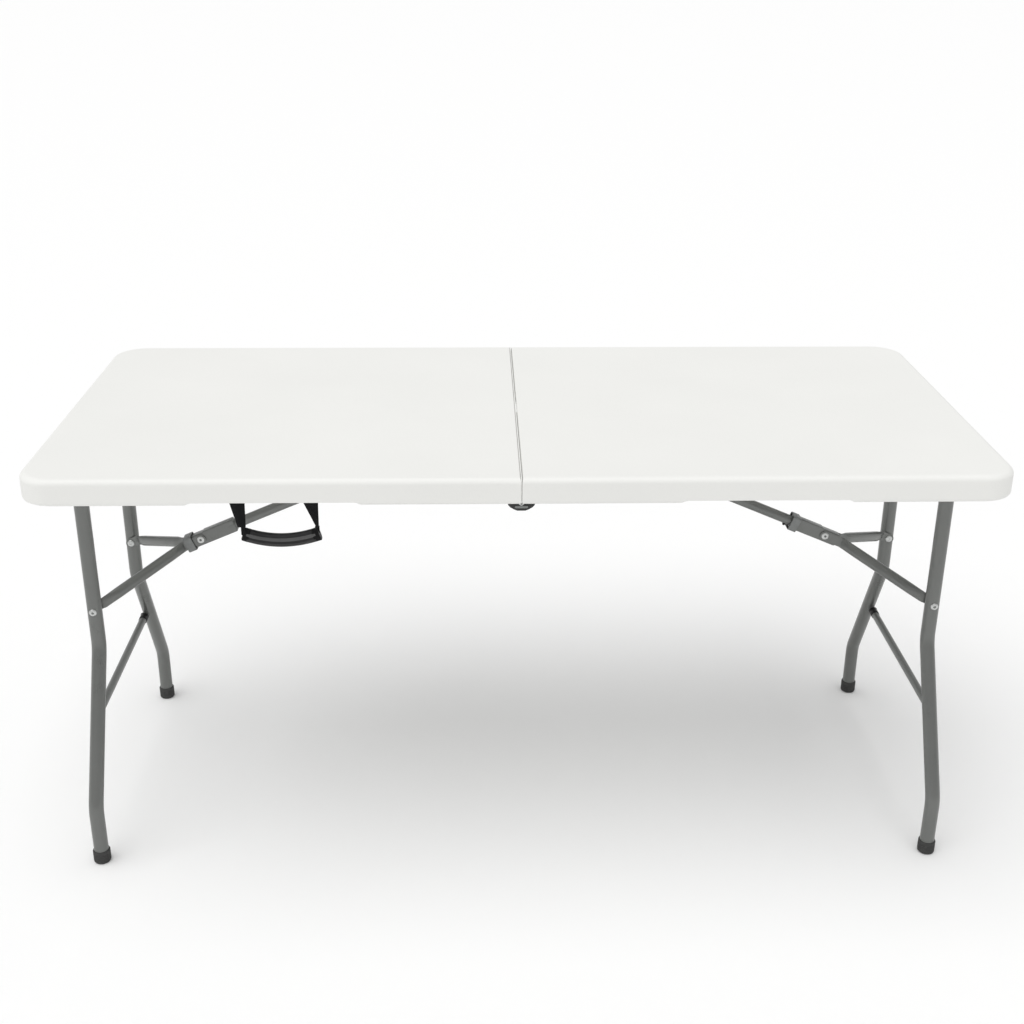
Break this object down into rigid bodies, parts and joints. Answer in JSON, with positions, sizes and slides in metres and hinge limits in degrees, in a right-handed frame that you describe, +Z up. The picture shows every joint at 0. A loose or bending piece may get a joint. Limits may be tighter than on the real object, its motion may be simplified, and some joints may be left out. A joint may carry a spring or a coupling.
{
  "type": "folding table",
  "caption": "Rectangular folding table: moulded half tops hinged across the middle, wishbone tube leg frames that fold inward, knee braces with sliding lock rings, and a carry handle.",
  "frame": {"origin": "on the floor, under the middle of the table top", "axes": "+X along the table towards the right half, -Y towards the front long side, +Z up"},
  "size_m": [1.52, 0.7, 0.74],
  "materials": {
    "white_plastic": "off-white blow-moulded polyethylene, fine pebble grain",
    "grey_paint": "mid-grey powder coat, semi-gloss",
    "dark_steel": "dark grey painted steel plate",
    "zinc": "bright zinc plate",
    "foot_rubber": "matt black moulded rubber",
    "black_plastic": "black moulded plastic",
    "webbing": "black woven webbing"
  },
  "bodies": {
    "left_half": {"left_top_panel": "white_plastic", "left_link_clevis": "dark_steel", "left_clevis_pin": "zinc", "left_rail_front": "grey_paint", "left_leg_bearing_front": "black_plastic", "left_hinge_leaf_front": "dark_steel", "left_rail_rear": "grey_paint", "left_leg_bearing_rear": "black_plastic", "left_hinge_leaf_rear": "dark_steel", "hinge_pin_front": "zinc", "hinge_pin_rear": "zinc", "handle_anchor_left": "black_plastic", "handle_anchor_right": "black_plastic"},
    "left_leg_frame": {"left_leg_tube_front": "grey_paint", "left_leg_tube_rear": "grey_paint", "left_foot_front": "foot_rubber", "left_foot_rear": "foot_rubber", "left_leg_rivet_front": "zinc", "left_leg_rivet_rear": "zinc", "left_pivot_tube": "grey_paint", "left_crossbar": "grey_paint"},
    "left_link_arm": {"left_link": "grey_paint", "left_knee_rivet": "zinc", "left_ring_stop": "black_plastic"},
    "left_brace": {"left_strut_front": "grey_paint", "left_strut_rear": "grey_paint", "left_strut_rivet_front": "zinc", "left_strut_rivet_rear": "zinc"},
    "left_ring": {"left_lock_ring": "zinc"},
    "right_half": {"right_top_panel": "white_plastic", "right_link_clevis": "dark_steel", "right_clevis_pin": "zinc", "right_rail_front": "grey_paint", "right_leg_bearing_front": "black_plastic", "right_hinge_leaf_front": "dark_steel", "right_rail_rear": "grey_paint", "right_leg_bearing_rear": "black_plastic", "right_hinge_leaf_rear": "dark_steel"},
    "right_leg_frame": {"right_leg_tube_front": "grey_paint", "right_leg_tube_rear": "grey_paint", "right_foot_front": "foot_rubber", "right_foot_rear": "foot_rubber", "right_leg_rivet_front": "zinc", "right_leg_rivet_rear": "zinc", "right_pivot_tube": "grey_paint", "right_crossbar": "grey_paint"},
    "right_link_arm": {"right_link": "grey_paint", "right_knee_rivet": "zinc", "right_ring_stop": "black_plastic"},
    "right_brace": {"right_strut_front": "grey_paint", "right_strut_rear": "grey_paint", "right_strut_rivet_front": "zinc", "right_strut_rivet_rear": "zinc"},
    "right_ring": {"right_lock_ring": "zinc"},
    "handle": {"handle_strap_left": "webbing", "handle_strap_right": "webbing", "handle_grip": "black_plastic"}
  },
  "joints": [
    {"name": "centre_fold", "type": "hinge", "parent": "left_half", "child": "right_half", "pos_m": [0, 0, 0.698], "axis": [0, 1, 0], "range_deg": [0, 88]},
    {"name": "left_leg_fold", "type": "hinge", "parent": "left_half", "child": "left_leg_frame", "pos_m": [-0.722, 0, 0.711], "axis": [0, -1, 0], "range_deg": [0, 90]},
    {"name": "left_link_swing", "type": "hinge", "parent": "left_half", "child": "left_link_arm", "pos_m": [-0.015, 0, 0.7225], "axis": [0, 1, 0], "range_deg": [0, 23.11]},
    {"name": "left_brace_swing", "type": "hinge", "parent": "left_link_arm", "child": "left_brace", "pos_m": [-0.56012, 0, 0.49004], "axis": [0, -1, 0], "range_deg": [0, 176.26]},
    {"name": "right_leg_fold", "type": "hinge", "parent": "right_half", "child": "right_leg_frame", "pos_m": [0.722, 0, 0.711], "axis": [0, 1, 0], "range_deg": [0, 90]},
    {"name": "right_link_swing", "type": "hinge", "parent": "right_half", "child": "right_link_arm", "pos_m": [0.015, 0, 0.7225], "axis": [0, -1, 0], "range_deg": [0, 23.11]},
    {"name": "right_brace_swing", "type": "hinge", "parent": "right_link_arm", "child": "right_brace", "pos_m": [0.56012, 0, 0.49004], "axis": [0, 1, 0], "range_deg": [0, 176.26]},
    {"name": "left_ring_slide", "type": "slide", "parent": "left_link_arm", "child": "left_ring", "axis": [0.9199, 0, 0.3923], "range_m": [0, 0.277]},
    {"name": "right_ring_slide", "type": "slide", "parent": "right_link_arm", "child": "right_ring", "axis": [-0.9199, 0, 0.3923], "range_m": [-0.084, 0]},
    {"name": "handle_swing", "type": "hinge", "parent": "left_half", "child": "handle", "pos_m": [-0.3777, -0.3183, 0.699], "axis": [-1, 0, 0], "range_deg": [-30, 90]}
  ],
  "couplings": [
    {"joint": "left_link_swing", "follows": "left_leg_fold", "ratio": 0.25662},
    {"joint": "left_brace_swing", "follows": "left_leg_fold", "ratio": 1.9584},
    {"joint": "right_link_swing", "follows": "right_leg_fold", "ratio": 0.25662},
    {"joint": "right_brace_swing", "follows": "right_leg_fold", "ratio": 1.9584},
    {"joint": "left_ring_slide", "follows": "left_leg_fold", "m_per_rad": 0.17628}
  ]
}
